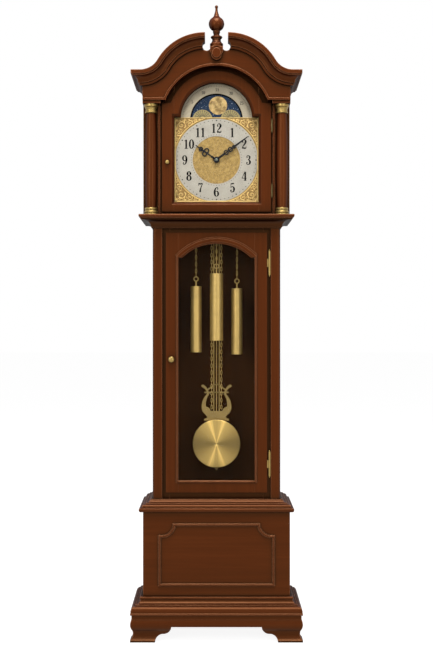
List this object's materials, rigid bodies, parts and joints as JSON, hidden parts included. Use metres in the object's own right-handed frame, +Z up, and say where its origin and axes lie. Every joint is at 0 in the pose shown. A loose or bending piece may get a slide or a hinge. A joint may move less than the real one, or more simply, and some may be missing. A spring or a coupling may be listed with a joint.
{
  "type": "longcase clock",
  "caption": "Tall floor-standing clock case with glazed doors, break-arch moon dial, broken-arch hood, and a weight-driven movement with a lyre pendulum.",
  "frame": {"origin": "on the floor under the middle of the case", "axes": "+Z up, +Y to the wall behind the clock, +X to the right as seen from the front"},
  "size_m": [0.554, 0.3, 2.05],
  "materials": {
    "case_wood": "satin red-brown polish",
    "inner_wood": "dark stained",
    "door_glass": "clear",
    "polished_brass": "polished",
    "brushed_brass": "brushed and lacquered",
    "dial_brass": "matt",
    "silvered_brass": "silvered",
    "moon_paint": "painted sky",
    "black_steel": "blackened",
    "bright_steel": "ground"
  },
  "bodies": {
    "case": {"front_foot_board": "case_wood", "side_foot_boards": "case_wood", "plinth_moulding": "case_wood", "base_front_panel": "case_wood", "base_panel_bead": "case_wood", "base_carcase": "case_wood", "waist_moulding": "case_wood", "trunk_sides": "case_wood", "trunk_front_frame": "case_wood", "throat_moulding": "case_wood", "seatboard": "inner_wood", "trunk_case_hinge_leaves": "polished_brass", "backboard": "inner_wood", "dial_plate": "dial_brass", "chapter_ring": "silvered_brass", "lunar_ring": "silvered_brass", "dial_spandrels": "dial_brass", "movement_frame": "dial_brass", "back_cock": "dial_brass", "chains": "polished_brass"},
    "hood": {"hood_ledge": "case_wood", "hood_carcase": "case_wood", "dial_mask": "case_wood", "hood_columns": "case_wood", "column_brasses": "polished_brass", "tympanum": "case_wood", "crown_mouldings": "case_wood", "hood_roof": "case_wood", "finial": "case_wood", "hood_case_hinge_leaves": "polished_brass"},
    "hood_door": {"hood_door_frame": "case_wood", "hood_door_glass": "door_glass", "hood_door_knob": "polished_brass", "hood_door_hinge_leaves": "polished_brass"},
    "trunk_door": {"trunk_door_frame": "case_wood", "trunk_door_glass": "door_glass", "trunk_door_bead": "case_wood", "trunk_door_knob": "polished_brass", "trunk_door_hinge_leaves": "polished_brass"},
    "minute": {"cannon_pinion": "dial_brass", "minute_hand": "black_steel"},
    "centre": {"centre_wheel": "dial_brass"},
    "hour": {"hour_wheel": "dial_brass", "hour_hand": "black_steel"},
    "motion": {"minute_wheel": "dial_brass"},
    "great": {"great_wheel": "dial_brass"},
    "third": {"third_wheel": "dial_brass"},
    "escape": {"escape_wheel": "dial_brass"},
    "moon": {"moon_disc": "moon_paint"},
    "anchor": {"anchor_and_crutch": "bright_steel"},
    "pendulum": {"pendulum_rods": "polished_brass", "pendulum_lyre": "brushed_brass", "pendulum_bob": "brushed_brass", "rating_nut": "polished_brass"},
    "left_weight": {"weight_left": "brushed_brass"},
    "centre_weight": {"weight_centre": "brushed_brass"},
    "right_weight": {"weight_right": "brushed_brass"},
    "left_sprocket": {"sprocket_left": "dial_brass"},
    "centre_sprocket": {"sprocket_centre": "dial_brass"},
    "right_sprocket": {"sprocket_right": "dial_brass"}
  },
  "joints": [
    {"name": "hood_slide", "type": "slide", "parent": "case", "child": "hood", "axis": [0, -1, 0], "range_m": [0, 0.2]},
    {"name": "hood_door_hinge", "type": "hinge", "parent": "hood", "child": "hood_door", "pos_m": [0.18, -0.088, 1.558], "axis": [0, 0, 1], "range_deg": [0, 90]},
    {"name": "trunk_door_hinge", "type": "hinge", "parent": "case", "child": "trunk_door", "pos_m": [0.1725, -0.0805, 0.8905], "axis": [0, 0, 1], "range_deg": [0, 115]},
    {"name": "minute_turn", "type": "hinge", "parent": "case", "child": "minute", "pos_m": [0, -0.05, 1.557], "axis": [0, 1, 0], "continuous": true},
    {"name": "hour_turn", "type": "hinge", "parent": "case", "child": "hour", "pos_m": [0, -0.05, 1.557], "axis": [0, 1, 0], "continuous": true},
    {"name": "motion_turn", "type": "hinge", "parent": "case", "child": "motion", "pos_m": [-0.01697, -0.04, 1.54003], "axis": [0, 1, 0], "continuous": true},
    {"name": "centre_turn", "type": "hinge", "parent": "case", "child": "centre", "pos_m": [0, -0.03, 1.557], "axis": [0, 1, 0], "continuous": true},
    {"name": "great_turn", "type": "hinge", "parent": "case", "child": "great", "pos_m": [0.026, 0, 1.51809], "axis": [0, 1, 0], "continuous": true},
    {"name": "third_turn", "type": "hinge", "parent": "case", "child": "third", "pos_m": [0.02, 0, 1.57543], "axis": [0, 1, 0], "continuous": true},
    {"name": "escape_turn", "type": "hinge", "parent": "case", "child": "escape", "pos_m": [0, 0, 1.58796], "axis": [0, 1, 0], "continuous": true},
    {"name": "moon_turn", "type": "hinge", "parent": "case", "child": "moon", "pos_m": [0, -0.047, 1.689], "axis": [0, 1, 0], "continuous": true},
    {"name": "pendulum_swing", "type": "hinge", "parent": "case", "child": "pendulum", "pos_m": [0, 0.044, 1.615], "axis": [0, 1, 0], "range_deg": [-2.5, 2.5]},
    {"name": "anchor_rock", "type": "hinge", "parent": "case", "child": "anchor", "pos_m": [0, 0, 1.615], "axis": [0, 1, 0], "range_deg": [-2.5, 2.5]},
    {"name": "left_weight_drop", "type": "slide", "parent": "case", "child": "left_weight", "axis": [0, 0, -1], "range_m": [0, 0.28]},
    {"name": "centre_weight_drop", "type": "slide", "parent": "case", "child": "centre_weight", "axis": [0, 0, -1], "range_m": [0, 0.2]},
    {"name": "right_weight_drop", "type": "slide", "parent": "case", "child": "right_weight", "axis": [0, 0, -1], "range_m": [0, 0.28]},
    {"name": "left_sprocket_turn", "type": "hinge", "parent": "case", "child": "left_sprocket", "pos_m": [-0.042, 0, 1.473], "axis": [0, 1, 0], "range_deg": [-620, 0]},
    {"name": "centre_sprocket_turn", "type": "hinge", "parent": "case", "child": "centre_sprocket", "pos_m": [0.026, -0.025, 1.51809], "axis": [0, 1, 0], "range_deg": [-445, 0]},
    {"name": "right_sprocket_turn", "type": "hinge", "parent": "case", "child": "right_sprocket", "pos_m": [0.042, 0, 1.473], "axis": [0, 1, 0], "range_deg": [0, 620]}
  ],
  "couplings": [
    {"joint": "hour_turn", "follows": "minute_turn", "ratio": 0.083333},
    {"joint": "motion_turn", "follows": "minute_turn", "ratio": -0.33333},
    {"joint": "great_turn", "follows": "escape_turn", "ratio": -0.0013889},
    {"joint": "third_turn", "follows": "escape_turn", "ratio": -0.125},
    {"joint": "centre_turn", "follows": "escape_turn", "ratio": 0.016667},
    {"joint": "moon_turn", "follows": "minute_turn", "ratio": 0.00070621},
    {"joint": "anchor_rock", "follows": "pendulum_swing", "ratio": 1},
    {"joint": "left_sprocket_turn", "follows": "left_weight_drop", "rad_per_m": -38.462},
    {"joint": "centre_sprocket_turn", "follows": "centre_weight_drop", "rad_per_m": -38.462},
    {"joint": "right_sprocket_turn", "follows": "right_weight_drop", "rad_per_m": 38.462}
  ]
}
